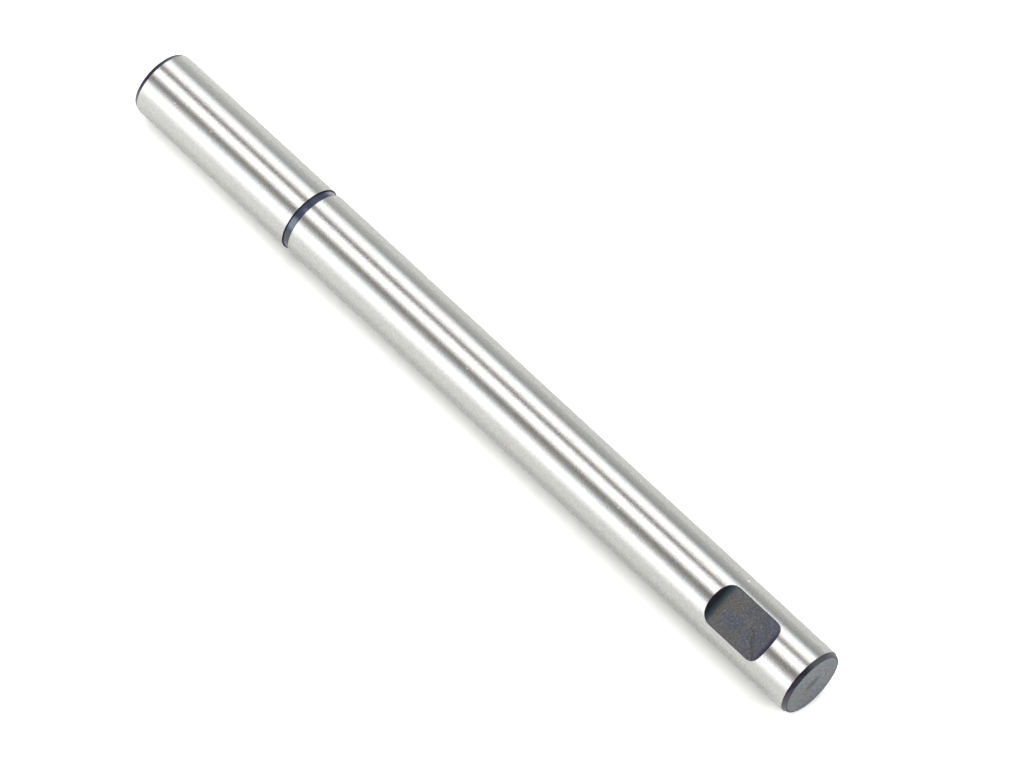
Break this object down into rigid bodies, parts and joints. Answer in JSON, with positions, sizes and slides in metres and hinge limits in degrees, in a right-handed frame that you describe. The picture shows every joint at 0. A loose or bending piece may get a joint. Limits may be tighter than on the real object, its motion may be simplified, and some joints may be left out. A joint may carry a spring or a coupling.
{
  "type": "shaft",
  "caption": "Round ground steel shaft with chamfered ends, a retaining ring groove towards one end and a milled locking flat near the other.",
  "frame": {"origin": "on the axis, in the middle of the end face that the shaft stands on, which is the end nearer the ring groove", "axes": "+Z along the shaft towards the end with the milled flat, -Y out of the flat"},
  "size_m": [0.01, 0.01, 0.1264],
  "materials": {
    "ground_steel": "fine ground all round, with the black heat treatment skin left in the groove, on the flat and on the ends"
  },
  "bodies": {
    "root": {"shaft": "ground_steel"}
  },
  "joints": []
}
